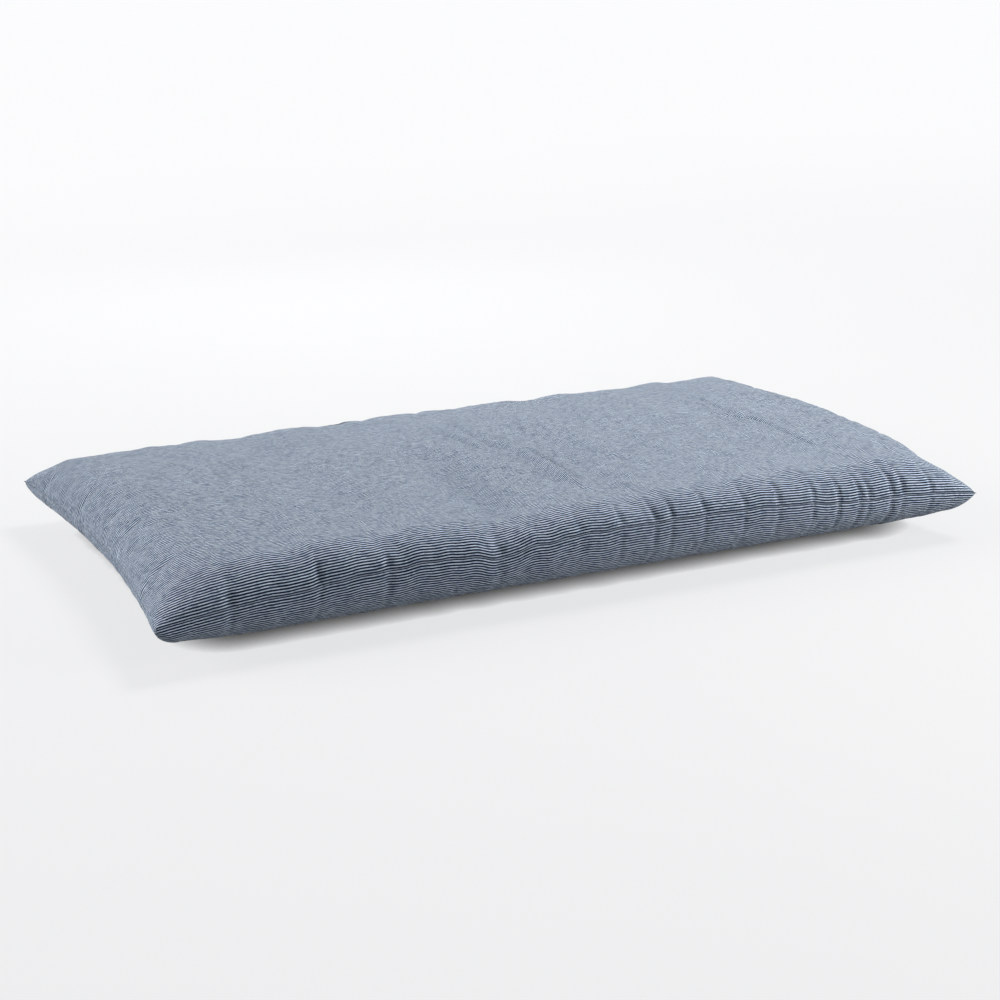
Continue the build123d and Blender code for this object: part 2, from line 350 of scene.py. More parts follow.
def arc(points, axis):
    """Distance over the cloth from the first edge of a grid."""
    steps = np.linalg.norm(np.diff(points, axis=axis), axis=-1)
    start = np.zeros_like(np.take(steps, [0], axis=axis))
    return np.cumsum(np.concatenate([start, steps], axis=axis), axis=axis)


def edge_distances(points):
    """Distance over the cloth to the nearer end and to the nearer side."""
    along, across = arc(points, 0), arc(points, 1)
    return np.minimum(along, along[-1:] - along), np.minimum(across, across[:, -1:] - across)


def row_of_puckers(at, places):
    """Valleys at named places along a sewn edge."""
    return sum(-depth * bump((at - place) / width) for place, width, depth in places)


def relief(side, x, y, points):
    """What stands off the plain form: puckers at the sewn edges, slow lumps, and the top's creases."""
    end, edge = edge_distances(points)
    sides = np.where(y < 0, row_of_puckers(x, NEAR_PUCKERS), row_of_puckers(x, FAR_PUCKERS))
    if side < 0:
        sides = 0.5 * sides
    total = sides * smooth(edge / 0.012) * bump(edge / 0.075) * smooth(end / 0.06)
    ends = row_of_puckers(y, END_PUCKERS) * smooth(end / 0.012) * bump(end / 0.06) * smooth(edge / 0.06)
    total = total + ends * np.where(x > 0, 0.25, 1.0)
    inner = smooth(edge / 0.03) * smooth(end / 0.03)
    total = total + LUMP_HEIGHT * ripples(x, y, 10, 0.05, 0.13, 0.9, 31 + side) * inner
    if side > 0:
        for start, stop, width, height in CREASES:
            total = total + height * ridge(x, y, start, stop, width) * smooth(edge / 0.05)
    return RELIEF_LIMIT * np.tanh(total / RELIEF_LIMIT)


# ---------------------------------------------------------------- cloth simulation

def settle(side, points):
    """Let the ease sewn into a panel's edges buckle, by Blender's cloth on every second point of its grid."""
    coarse = points[::2, ::2]
    rows, columns = coarse.shape[:2]
    piece = new_piece("settling", coarse, grid_faces(rows, columns, side < 0), ticking)
    end, edge = edge_distances(coarse)
    sewn = np.minimum(end, edge)
    hold = piece.vertex_groups.new(name="hold")
    ease = piece.vertex_groups.new(name="ease")
    # Sewn points stay where they are, and the others are held softly, least beside the edges
    held = np.where(sewn < 1e-6, 1.0, 0.35 + 0.25 * smooth(sewn / 0.2)).ravel()
    eased = (bump(edge / 0.07) + 0.6 * bump(end / 0.06) * (coarse[..., 0] < 0)).clip(0.0, 1.0).ravel()
    for index in range(rows * columns):
        hold.add([index], float(held[index]), "REPLACE")
        ease.add([index], float(eased[index]), "REPLACE")

    cloth = piece.modifiers.new("cloth", "CLOTH")
    settings = cloth.settings
    settings.quality = 5
    settings.mass = 0.4
    settings.air_damping = 2.0
    settings.tension_stiffness = settings.compression_stiffness = 40.0
    settings.shear_stiffness = 12.0
    settings.bending_stiffness = 0.6
    settings.vertex_group_mass = "hold"
    settings.pin_stiffness = 1.0
    settings.vertex_group_shrink = "ease"
    settings.shrink_min = -FACE_EASE
    settings.shrink_max = -EDGE_EASE
    settings.use_pressure = True
    settings.uniform_pressure_force = 1.0
    settings.effector_weights.gravity = 0.0
    cloth.point_cache.frame_start = 1
    cloth.point_cache.frame_end = SETTLE_FRAMES
    for moment in range(1, SETTLE_FRAMES + 1):
        bpy.context.scene.frame_set(moment)
    settled = piece.evaluated_get(bpy.context.evaluated_depsgraph_get()).to_mesh()
    flat = np.empty(rows * columns * 3)
    settled.vertices.foreach_get("co", flat)
    bpy.data.objects.remove(piece)
    bpy.context.scene.frame_set(1)

    moved = flat.reshape(coarse.shape) - coarse
    length = np.linalg.norm(moved, axis=-1, keepdims=True)
    moved *= MOVE_LIMIT * np.tanh(length / MOVE_LIMIT) / np.maximum(length, 1e-9)
    return points + between(between(moved, 0), 1)


def between(grid, axis):
    """Twice as many rows along an axis, the new ones on smooth curves through the old."""
    grid = np.moveaxis(grid, axis, 0)
    padded = np.concatenate([2 * grid[:1] - grid[1:2], grid, 2 * grid[-1:] - grid[-2:-1]])
    halfway = (9 * (padded[1:-2] + padded[2:-1]) - padded[:-3] - padded[3:]) / 16
    out = np.empty((2 * len(grid) - 1, *grid.shape[1:]))
    out[::2], out[1::2] = grid, halfway
    return np.moveaxis(out, 0, axis)


# ---------------------------------------------------------------- meshes

def new_piece(name, vertices, faces, material, uv=None):
    """A smooth-shaded mesh object from blocks of faces; uv holds one pair per vertex."""
    mesh = bpy.data.meshes.new(name)
    vertices = np.asarray(vertices, float).reshape(-1, 3)
    blocks = faces if isinstance(faces, list) else [faces]
    corners = np.concatenate([block.ravel() for block in blocks])
    sizes = np.concatenate([np.full(len(block), block.shape[1]) for block in blocks])
    mesh.vertices.add(len(vertices))
    mesh.vertices.foreach_set("co", vertices.ravel())
    mesh.loops.add(len(corners))
    mesh.loops.foreach_set("vertex_index", corners)
    mesh.polygons.add(len(sizes))
    mesh.polygons.foreach_set("loop_start", np.cumsum(sizes) - sizes)
    mesh.polygons.foreach_set("use_smooth", np.ones(len(sizes), bool))
    mesh.update(calc_edges=True)
    if uv is not None:
        layer = mesh.uv_layers.new(name="Cloth")
        layer.data.foreach_set("uv", uv[corners].ravel())
    mesh.materials.append(material)
    mesh.validate()
    piece = bpy.data.objects.new(name, mesh)
    bpy.context.scene.collection.objects.link(piece)
    return piece


def grid_faces(rows, columns, flip=False, first=0):
    """Quads over a grid of rows by columns of vertices."""
    index = np.arange(rows * columns).reshape(rows, columns) + first
    quads = np.stack([index[:-1, :-1], index[1:, :-1], index[1:, 1:], index[:-1, 1:]], axis=-1).reshape(-1, 4)
    return quads[:, ::-1] if flip else quads


def rim_loop(rows, columns):
    """Grid indices round the border, in order."""
    index = np.arange(rows * columns).reshape(rows, columns)
    return np.concatenate([index[:-1, 0], index[-1, :-1], index[:0:-1, -1], index[0, :0:-1]])


def shell_piece(name, outside, inside, side, material):
    """A closed sheet between two grids of points."""
    rows, columns = outside.shape[:2]
    count = rows * columns
    rim = rim_loop(rows, columns)
    after = np.roll(rim, -1)
    walls = np.stack([rim, rim + count, after + count, after], axis=-1)
    faces = [
        grid_faces(rows, columns, side < 0),
        grid_faces(rows, columns, side > 0, count),
        walls[:, ::-1] if side < 0 else walls,
    ]
    points = np.concatenate([outside.reshape(-1, 3), inside.reshape(-1, 3)])
    return new_piece(name, points, faces, material)


def tube(path, radius, sides, closed=False):
    """A round tube along a path; radius is one number or one for each point."""
    path = np.asarray(path, float)
    count = len(path)
    if closed:
        heading = np.roll(path, -1, axis=0) - np.roll(path, 1, axis=0)
    else:
        heading = np.gradient(path, axis=0)
    heading /= np.linalg.norm(heading, axis=1, keepdims=True)
    helper = np.where(np.abs(heading[:, 2:3]) > 0.9, [[1.0, 0.0, 0.0]], [[0.0, 0.0, 1.0]])
    first = np.cross(heading, helper)
    first /= np.linalg.norm(first, axis=1, keepdims=True)
    second = np.cross(heading, first)
    turn = np.linspace(0.0, 2 * math.pi, sides, endpoint=False)
    radius = np.broadcast_to(radius, (count,))[:, None, None]
    ring = first[:, None, :] * np.cos(turn)[None, :, None] + second[:, None, :] * np.sin(turn)[None, :, None]
    points = path[:, None, :] + radius * ring
    index = np.arange(count * sides).reshape(count, sides)
    index = np.concatenate([index, index[:, :1]], axis=1)
    if closed:
        index = np.concatenate([index, index[:1]], axis=0)
    quads = np.stack([index[:-1, :-1], index[:-1, 1:], index[1:, 1:], index[1:, :-1]], axis=-1).reshape(-1, 4)
    if closed:
        return points.reshape(-1, 3), [quads]
    caps = [np.arange(sides)[None, ::-1], np.arange((count - 1) * sides, count * sides)[None, :]]
    return points.reshape(-1, 3), [quads, *caps]


# ---------------------------------------------------------------- materials

class Nodes:
    """A short way to write a material's nodes."""

    def __init__(self, name):
        self.material = bpy.data.materials.new(name)
        self.material.use_nodes = True
        self.tree = self.material.node_tree
        self.tree.nodes.clear()
        self.shader = self.tree.nodes.new("ShaderNodeBsdfPrincipled")
        output = self.tree.nodes.new("ShaderNodeOutputMaterial")
        self.join(self.shader.outputs[0], output.inputs[0])

    def join(self, source, socket):
        self.tree.links.new(source, socket)

    def put(self, value, socket):
        """Link a socket to an input, or set the input to a plain value."""
        if isinstance(value, bpy.types.NodeSocket):
            self.join(value, socket)
        elif value is not None:
            socket.default_value = value

    def math(self, operation, first, second=None, third=None):
        node = self.tree.nodes.new("ShaderNodeMath")
        node.operation = operation
        for value, socket in zip((first, second, third), node.inputs):
            self.put(value, socket)
        return node.outputs[0]

    def range(self, value, low, high, new_low=0.0, new_high=1.0):
        node = self.tree.nodes.new("ShaderNodeMapRange")
        node.interpolation_type = "SMOOTHSTEP"
        for number, socket in zip((value, low, high, new_low, new_high), node.inputs):
            self.put(number, socket)
        return node.outputs[0]

    def mix(self, share, first, second):
        node = self.tree.nodes.new("ShaderNodeMix")
        node.data_type = "RGBA"
        self.put(share, node.inputs[0])
        self.put(first, node.inputs[6])
        self.put(second, node.inputs[7])
        return node.outputs[2]

    def noise(self, vector, scale, detail=2.0, rough=0.5):
        node = self.tree.nodes.new("ShaderNodeTexNoise")
        self.put(vector, node.inputs["Vector"])
        node.inputs["Scale"].default_value = scale
        node.inputs["Detail"].default_value = detail
        node.inputs["Roughness"].default_value = rough
        return node.outputs["Fac"]

    def vector(self, x, y, z=0.0):
        node = self.tree.nodes.new("ShaderNodeCombineXYZ")
        for value, socket in zip((x, y, z), node.inputs):
            self.put(value, socket)
        return node.outputs[0]

    def place(self):
        """The point in the object, in metres."""
        return self.tree.nodes.new("ShaderNodeTexCoord").outputs["Object"]

    def split(self, vector):
        node = self.tree.nodes.new("ShaderNodeSeparateXYZ")
        self.join(vector, node.inputs[0])
        return node.outputs

    def cloth(self):
        """Distances over the cloth, along and across the panel, in metres."""
        node = self.tree.nodes.new("ShaderNodeUVMap")
        node.uv_map = "Cloth"
        return self.split(node.outputs[0])

    def finish(self, color, roughness, height=None, depth=0.0, sheen=0.0, metallic=0.0):
        self.put(color, self.shader.inputs["Base Color"])
        self.put(roughness, self.shader.inputs["Roughness"])
        self.shader.inputs["Metallic"].default_value = metallic
        self.shader.inputs["Sheen Weight"].default_value = sheen
        self.shader.inputs["Sheen Roughness"].default_value = 0.5
        self.shader.inputs["Specular IOR Level"].default_value = 0.5 if metallic else 0.2
        if height is not None:
            grain = self.tree.nodes.new("ShaderNodeBump")
            grain.inputs["Strength"].default_value = 1.0
            grain.inputs["Distance"].default_value = depth
            self.join(height, grain.inputs["Height"])
            self.join(grain.outputs[0], self.shader.inputs["Normal"])
        return self.material


def ticking_material():
    """Cotton ticking: navy and off-white warp stripes of slub yarn, with a fine twill and slight wear."""
    n = Nodes("ticking")
    along, across, _ = n.cloth()
    wander = n.noise(n.vector(n.math("MULTIPLY", along, 3.0), n.math("MULTIPLY", across, 60.0)), 1.0)
    fray = n.noise(n.vector(n.math("MULTIPLY", along, 420.0), n.math("MULTIPLY", across, 1500.0)), 1.0, 1.0)
    moved = n.math("MULTIPLY_ADD", wander, 0.0009, across)
    moved = n.math("MULTIPLY_ADD", fray, 0.0004, moved)
    stripe = n.math("PINGPONG", moved, STRIPE_PITCH / 2)
    light = n.range(stripe, STRIPE_PITCH * LIGHT_FROM, STRIPE_PITCH * LIGHT_FULL)
    yarn_number = n.math("SNAP", moved, STRIPE_PITCH)
    own = n.math("MULTIPLY", yarn_number, 1300.0)
    slub = n.noise(n.vector(n.math("MULTIPLY", along, 75.0), own), 1.0, 3.0, 0.7)
    other = n.noise(n.vector(n.math("MULTIPLY", along, 110.0), own, 8.0), 1.0, 2.0, 0.7)
    pale = n.mix(n.range(slub, 0.34, 0.58), *PALE_YARN)
    dark = n.mix(n.range(other, 0.46, 0.72), *DARK_YARN)
    cloth = n.mix(light, dark, pale)
    age = n.noise(n.place(), 5.0, 4.0, 0.6)
    cloth = n.mix(n.range(age, 0.3, 0.75, 0.0, 0.12), cloth, WORN_YARN)
    diagonal = n.math("ADD", n.math("MULTIPLY", along, 0.8), across)
    twill = n.math("SINE", n.math("MULTIPLY", diagonal, 2 * math.pi / TWILL_PITCH))
    yarn = n.math("SINE", n.math("MULTIPLY", across, 2 * math.pi / YARN_PITCH))
    height = n.math("MULTIPLY_ADD", twill, 0.35, n.math("MULTIPLY", yarn, 0.25))
    height = n.math("MULTIPLY_ADD", slub, 1.5, height)
    height = n.math("MULTIPLY_ADD", light, 0.5, height)
    rough = n.range(slub, 0.2, 0.8, 0.82, 0.95)
    return n.finish(cloth, rough, height, 0.00022, sheen=0.10)


def plain_cloth(name, color, worn, pitch, depth, sheen=0.1):
    """A plain weave in one colour, uneven from yarn to yarn."""
    n = Nodes(name)
    x, y, z = n.split(n.place())
    first = n.math("SINE", n.math("MULTIPLY", n.math("ADD", x, z), 2 * math.pi / pitch))
    second = n.math("SINE", n.math("MULTIPLY", n.math("ADD", y, z), 2 * math.pi / pitch))
    weave = n.math("MULTIPLY", first, second)
    uneven = n.noise(n.place(), 0.35 / pitch, 3.0)
    shade = n.mix(n.range(uneven, 0.3, 0.7), color, worn)
    return n.finish(shade, n.range(uneven, 0.2, 0.8, 0.8, 0.95), weave, depth, sheen=sheen)


def fibre_material(name, color, worn, scale, depth):
    """Matted fibres or open foam: soft clumps with a fine grain."""
    n = Nodes(name)
    clump = n.noise(n.place(), scale, 6.0, 0.7)
    shade = n.mix(n.range(clump, 0.3, 0.7), color, worn)
    return n.finish(shade, n.range(clump, 0.2, 0.8, 0.85, 1.0), clump, depth, sheen=0.1)


def thread_material(name, color, worn):
    """Twisted sewing thread."""
    n = Nodes(name)
    x, y, z = n.split(n.place())
    twist = n.math("SINE", n.math("MULTIPLY", n.math("ADD", n.math("ADD", x, y), z), 2 * math.pi / 0.0008))
    fuzz = n.noise(n.place(), 900.0, 2.0)
    shade = n.mix(n.range(fuzz, 0.3, 0.7), color, worn)
    return n.finish(shade, n.range(fuzz, 0.2, 0.8, 0.55, 0.75), twist, 0.0001, sheen=0.1)


def metal_material():
    """Tumbled zinc, brushed along the zip and dulled where it is handled."""
    n = Nodes("zip_metal")
    x, y, z = n.split(n.place())
    brush = n.noise(n.vector(n.math("MULTIPLY", y, 0.06), x, z), 5200.0, 3.0)
    dull = n.noise(n.place(), 420.0, 3.0)
    shade = n.mix(n.range(dull, 0.35, 0.7), (0.56, 0.56, 0.57, 1), (0.40, 0.40, 0.42, 1))
    return n.finish(shade, n.range(dull, 0.3, 0.7, 0.26, 0.45), brush, 0.00003, metallic=1.0)


def plastic_material():
    """Satin nylon of the zip's coils."""
    n = Nodes("zip_coil")
    scuff = n.noise(n.place(), 700.0, 3.0)
    shade = n.mix(n.range(scuff, 0.4, 0.7), (0.012, 0.018, 0.040, 1), (0.035, 0.045, 0.080, 1))
    return n.finish(shade, n.range(scuff, 0.3, 0.7, 0.32, 0.5), scuff, 0.00003)


def floor_material():
    """Matt studio floor with some painted light of its own, as an overlit backdrop has: its shadows stay
    pale.
    """
    n = Nodes("floor")
    cloud = n.noise(n.place(), 0.7, 2.0)
    material = n.finish(n.mix(cloud, (0.11, 0.11, 0.11, 1), (0.12, 0.12, 0.12, 1)), 1.0)
    n.shader.inputs["Emission Color"].default_value = (0.985, 0.99, 1.0, 1)
    seen = n.tree.nodes.new("ShaderNodeLightPath").outputs["Is Camera Ray"]
    _, back, _ = n.split(n.place())
    # The glow is painted light that grows towards the back, and ambient occlusion dims it near the object as
    # a painted contact shadow.
    close = n.tree.nodes.new("ShaderNodeAmbientOcclusion")
    close.inputs["Distance"].default_value = FLOOR_CONTACT
    close.samples = 8
    glow = n.math("MULTIPLY", n.range(back, GLOW_FROM, GLOW_TO, *FLOOR_GLOW), close.outputs["AO"])
    share = n.math("MULTIPLY_ADD", seen, 1.0 - FLOOR_BOUNCE, FLOOR_BOUNCE)
    n.put(n.math("MULTIPLY", share, glow), n.shader.inputs["Emission Strength"])
    return material


ticking = ticking_material()
casing_cloth = plain_cloth("cotton_casing", (0.86, 0.83, 0.76, 1), (0.76, 0.72, 0.64, 1), 0.0011, 0.0002)
tape_cloth = plain_cloth("zip_tape", (0.012, 0.018, 0.042, 1), (0.030, 0.038, 0.070, 1), 0.0010, 0.00015)
label_cloth = plain_cloth("label", (0.88, 0.88, 0.86, 1), (0.80, 0.80, 0.78, 1), 0.0006, 0.00006, sheen=0.25)
wadding_fibre = fibre_material("cotton_wadding", (0.90, 0.88, 0.82, 1), (0.78, 0.75, 0.68, 1), 160.0, 0.002)
foam_cells = fibre_material("foam", (0.88, 0.80, 0.55, 1), (0.78, 0.68, 0.42, 1), 900.0, 0.0006)
felt_fibre = fibre_material("felt", (0.50, 0.48, 0.45, 1), (0.36, 0.34, 0.32, 1), 1400.0, 0.0004)
seam_thread = thread_material("sewing_thread", (0.020, 0.028, 0.060, 1), (0.060, 0.075, 0.120, 1))
tie_twine = thread_material("twine", (0.80, 0.74, 0.62, 1), (0.62, 0.56, 0.44, 1))
zip_metal = metal_material()
zip_nylon = plastic_material()


# ---------------------------------------------------------------- cover

def panel(side, x, y):
    """The outside of one panel of the cover."""
    points = face(side, x, y)
    points += grid_normals(points, side) * relief(side, x, y, points)[..., None]
    points = settle(side, points)
    end, edge = edge_distances(points)
    sewn = np.where(x > 0, smooth((np.abs(y) - ZIP_HALF) / 0.01), 1.0)
    groove = GROOVE_DEPTH * (bump(edge / GROOVE_WIDTH) + bump(end / GROOVE_WIDTH) * sewn).clip(0.0, 1.0)
    points -= grid_normals(points, side) * groove[..., None]
    points[..., 2] = np.maximum(points[..., 2], 0.0)
    return points


def stripes_uv(points, offset):
    """Distances over the cloth, true from both long sides and eased between, and its width and length."""
    across = arc(points, 1)
    width = np.median(across[:, -1])
    spare = (width - across[:, -1:]) * smooth((across / across[:, -1:] - 0.15) / 0.7)
    along = np.broadcast_to(arc(points, 0)[:, across.shape[1] // 2, None], across.shape)
    return np.stack([along, across + spare + offset], axis=-1), width, along[-1, 0]


def cover_panel(name, side, outside):
    """One panel as a closed sheet of ticking, its inner face at half the grid."""
    end, edge = edge_distances(outside)
    depth = FABRIC * (0.15 + 0.85 * smooth(np.minimum(end, edge) / 0.03))
    inside = (outside - grid_normals(outside, side) * depth[..., None])[::2, ::2]
    uv, width, length = stripes_uv(outside, side * 0.2 * STRIPE_PITCH)
    faces = lined_faces(outside.shape[0], outside.shape[1], side)
    points = np.concatenate([outside.reshape(-1, 3), inside.reshape(-1, 3)])
    uv = np.concatenate([uv.reshape(-1, 2), uv[::2, ::2].reshape(-1, 2)])
    piece = new_piece(name, points, faces, ticking, uv)
    half = "top" if side > 0 else "bottom"
    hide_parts(f"cover_{half}_head", f"cover_{half}_foot")
    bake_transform(piece)
    return piece


def lined_faces(rows, columns, side):
    """Faces of a closed sheet whose inner grid has every second row and column of the outer one."""
    inner_rows, inner_columns = (rows + 1) // 2, (columns + 1) // 2
    first = rows * columns
    fine = rim_loop(rows, columns)
    coarse = rim_loop(inner_rows, inner_columns) + first
    ahead, after = np.roll(fine, -2)[::2], np.roll(coarse, -1)
    here, mid = fine[::2], fine[1::2]
    walls = np.concatenate([
        np.stack([here, coarse, mid], axis=-1),
        np.stack([mid, coarse, after], axis=-1),
        np.stack([mid, after, ahead], axis=-1),
    ])
    if side < 0:
        walls = walls[:, ::-1]
    outer = grid_faces(rows, columns, side < 0)
    inner = grid_faces(inner_rows, inner_columns, side > 0, first)
    return [outer, inner, walls]


grid_x, grid_y = plan_grid(LENGTH_PITCH, WIDTH_PITCH)
outsides = {side: panel(side, grid_x, grid_y) for side in (1, -1)}

# The two panels meet along the seam, except where the zip parts them
joined = (np.abs(grid_x) == HALF_LENGTH) | (np.abs(grid_y) == HALF_WIDTH)
joined &= (grid_x < HALF_LENGTH) | (np.abs(grid_y) > ZIP_HALF)
meeting = (outsides[1] + outsides[-1]) / 2
for points in outsides.values():
    points[joined] = meeting[joined]

top_panel = cover_panel("cover_top_panel", 1, outsides[1])
cover_panel("cover_bottom_panel", -1, outsides[-1])
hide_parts("sewn_edge_head", "sewn_edge_foot")


# ---------------------------------------------------------------- inner mattress

def tie_places(half):
    """Where the tufting ties of one half go through, in plan."""
    low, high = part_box(f"tuft_pads_{half}")
    columns = (low[0] + PAD_RADIUS, high[0] - PAD_RADIUS)
    rows = (low[1] + PAD_RADIUS, (low[1] + high[1]) / 2, high[1] - PAD_RADIUS)
    return [(x, y) for x in columns for y in rows]


def dimples(x, y):
    """How deep the ties pull each face of the inner mattress in."""
    depth = np.zeros_like(x)
    for tie_x, tie_y in tie_places("head") + tie_places("foot"):
        depth = depth + DIMPLE_DEPTH * bump(np.hypot(x - tie_x, y - tie_y) / DIMPLE_REACH)
    return depth


def casing_points(side):
    """One face of the inner casing, with a dimple at each tie."""
    x, y = plan_grid(*CASING_PITCHES)
    points = face(side, x, y)
    points[..., 0] *= 1.0 - CASING_INSET / HALF_LENGTH
    points[..., 1] *= 1.0 - CASING_INSET / HALF_WIDTH
    points[..., 2] -= side * CASING_DROP * fullness(side, x, y)
    points[..., 2] -= side * dimples(points[..., 0], points[..., 1])
    return points


def casing_sheet(name, side):
    """One sheet of the cotton casing, closed round its thickness."""
    outside = casing_points(side)
    inside = outside - grid_normals(outside, side) * CASING_THICKNESS
    piece = shell_piece(name, outside, inside, side, casing_cloth)
    half = "top" if side > 0 else "bottom"
    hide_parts(f"inner_casing_{half}_head", f"inner_casing_{half}_foot")
    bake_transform(piece)
    return outside


def filling_level(share):
    """A level in the filling: share 0 is its underside, 1 its top."""
    half_x, half_y = HALF_LENGTH - FILLING_INSET, HALF_WIDTH - FILLING_INSET
    along = np.linspace(-half_x, half_x, FILLING_ROWS)
    across = np.linspace(-half_y, half_y, FILLING_COLUMNS)
    x, y = np.meshgrid(along, across, indexing="ij")
    under, over = face(-1, x, y), face(1, x, y)
    under[..., 2] += FILLING_DROP + dimples(x, y)
    over[..., 2] -= FILLING_DROP + dimples(x, y)
    lumps = 0.0006 * ripples(x, y, 8, 0.03, 0.09, 1.2, 50 + round(10 * share))
    points = under + (over - under) * share
    points[..., 2] += lumps
    return points


def filling_layer(name, low_share, high_share):
    """One flat layer of the filling, a closed slab with soft edges."""
    material, slot = (foam_cells, "foam") if "foam" in name else (wadding_fibre, "cotton_wadding")
    over, under = filling_level(high_share), filling_level(low_share)
    over[..., 2] -= LAYER_GAP
    under[..., 2] += LAYER_GAP
    rows, columns = over.shape[:2]
    count = rows * columns
    rim = rim_loop(rows, columns)
    waist_points = (over.reshape(-1, 3)[rim] + under.reshape(-1, 3)[rim]) / 2
    outward = waist_points[:, :2] / np.abs(waist_points[:, :2]).max(axis=0)
    waist_points[:, :2] += LAYER_BULGE * outward
    waist = np.arange(len(rim)) + 2 * count
    upper = np.stack([rim, waist, np.roll(waist, -1), np.roll(rim, -1)], axis=-1)
    lower = np.stack([waist, rim + count, np.roll(rim, -1) + count, np.roll(waist, -1)], axis=-1)
    faces = [grid_faces(rows, columns), grid_faces(rows, columns, True, count), upper, lower]
    points = np.concatenate([over.reshape(-1, 3), under.reshape(-1, 3), waist_points])
    piece = new_piece(name, points, faces, material)
    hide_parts(f"{name}_head", f"{name}_foot")
    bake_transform(piece)


def disc(centre, radius, thickness, sides=24):
    """A thin disc with rounded edges: points and faces."""
    profile = [(0.85, 0.5), (0.97, 0.3), (1.0, 0.0), (0.97, -0.3), (0.85, -0.5)]
    turn = np.linspace(0.0, 2 * math.pi, sides, endpoint=False)
    circle = np.stack([radius * np.cos(turn), radius * np.sin(turn), np.full(sides, thickness)], axis=-1)
    rings = [circle * (r, r, h) for r, h in profile]
    middles = np.array([(0.0, 0.0, 0.5 * thickness), (0.0, 0.0, -0.5 * thickness)])
    points = np.concatenate([*rings, middles]) + np.array(centre)
    index = np.arange(len(profile) * sides).reshape(len(profile), sides)
    index = np.concatenate([index, index[:, :1]], axis=1)
    walls = np.stack([index[:-1, :-1], index[1:, :-1], index[1:, 1:], index[:-1, 1:]], axis=-1).reshape(-1, 4)
    top, bottom = len(profile) * sides, len(profile) * sides + 1
    caps = [(top, a, b) for a, b in zip(index[0, :-1], index[0, 1:])]
    caps += [(bottom, b, a) for a, b in zip(index[-1, :-1], index[-1, 1:])]
    return points, [walls, np.array(caps)]


def gather(parts):
    """Join several (points, faces) into one."""
    points, faces, first = [], [], 0
    for some_points, some_faces in parts:
        points.append(some_points)
        faces += [np.asarray(block) + first for block in some_faces]
        first += len(some_points)
    return np.concatenate(points), faces


def knot_path(centre, size):
    """A trefoil knot."""
    t = np.linspace(0.0, 2 * math.pi, 72, endpoint=False)
    x = np.sin(t) + 2 * np.sin(2 * t)
    y = np.cos(t) - 2 * np.cos(2 * t)
    z = -np.sin(3 * t)
    return np.stack([x, y, z], axis=-1) * size / 3.0 + np.array(centre)


def ties_and_pads(half, casing_faces):
    """The twine ties of one half, knotted on a felt pad at each face of the casing."""
    pads, twines = [], []
    for x, y in tie_places(half):
        ends = {}
        for side, grid in casing_faces.items():
            flat = grid.reshape(-1, 3)
            level = flat[np.argmin(np.hypot(flat[:, 0] - x, flat[:, 1] - y)), 2]
            ends[side] = level + side * PAD_THICKNESS
            pads.append(disc((x, y, level + side * PAD_THICKNESS / 2), PAD_RADIUS, PAD_THICKNESS))
            knot = knot_path((x, y, ends[side] + side * 0.0014), KNOT_SIZE)
            twines.append(tube(knot, TWINE_RADIUS * 0.6, 6, closed=True))
        run = np.linspace(ends[-1] - 0.001, ends[1] + 0.001, 120)
        turn = run * 2 * math.pi / TWIST_PITCH
        for strand in (0.0, math.pi):
            aside = 0.45 * TWINE_RADIUS * np.cos(turn + strand)
            ahead = 0.45 * TWINE_RADIUS * np.sin(turn + strand)
            twines.append(tube(np.stack([x + aside, y + ahead, run], axis=-1), TWINE_RADIUS * 0.55, 6))
    for name, parts, material, slot in (
        (f"tuft_pads_{half}", pads, felt_fibre, "felt"),
        (f"tuft_ties_{half}", twines, tie_twine, "twine"),
    ):
        points, faces = gather(parts)
        piece = new_piece(f"{name}_half", points, faces, material)
        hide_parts(name)
        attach(piece, f"{half}_half")


casings = {1: casing_sheet("casing_top_sheet", 1), -1: casing_sheet("casing_bottom_sheet", -1)}
for layer in LAYERS:
    filling_layer(*layer)
for half in ("head", "foot"):
    ties_and_pads(half, casings)


# ---------------------------------------------------------------- edge thread, zip and label

def seam_path():
    """The seam's line round the cover, from one end of the zip to the other by way of the head."""
    loop = meeting.reshape(-1, 3)[rim_loop(*meeting.shape[:2])]
    at_zip = (loop[:, 0] > HALF_LENGTH / 2) & (np.abs(loop[:, 1]) < ZIP_HALF)
    loop = np.roll(loop, -np.flatnonzero(at_zip)[-1] - 1, axis=0)[:-at_zip.sum()]
    step = np.concatenate([[0.0], np.cumsum(np.linalg.norm(np.diff(loop, axis=0), axis=1))])
    even = np.arange(0.0, step[-1], STITCH_LENGTH / 4)
    return np.stack([np.interp(even, step, loop[:, i]) for i in range(3)], axis=-1)


def edge_thread():
    """The lockstitch that joins the panels, a thread that dips at every stitch."""
    path = seam_path()
    beat = np.abs(np.sin(np.arange(len(path)) * math.pi / 4))
    points, faces = tube(path, THREAD_RADIUS * (0.55 + 0.45 * beat), 5)
    piece = new_piece("edge_thread", points, faces, seam_thread)
    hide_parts("edge_thread_head", "edge_thread_foot")
    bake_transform(piece)


def zip_tape(name):
    """One tape of the zip: a woven strip with ribs along it, tucked inside the cover at its ends."""
    low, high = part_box(f"zip_tape_{name}")
    y, z = np.meshgrid(np.linspace(low[1], high[1], 320), np.linspace(low[2], high[2], 22), indexing="ij")
    rib = RIB_HEIGHT * np.cos((z - low[2]) * 2 * math.pi / RIB_PITCH)
    tucked = TAPE_TUCK * smooth((np.abs(y) - ZIP_HALF + 0.006) / 0.012)
    front = np.stack([high[0] - 0.0002 - tucked + rib, y, z], axis=-1)
    back = np.stack([low[0] + 0.0002 - tucked - rib, y, z], axis=-1)
    piece = shell_piece(f"zip_tape_{name}_cloth", front, back, 1, tape_cloth)
    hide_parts(f"zip_tape_{name}")
    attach(piece, "foot_half")


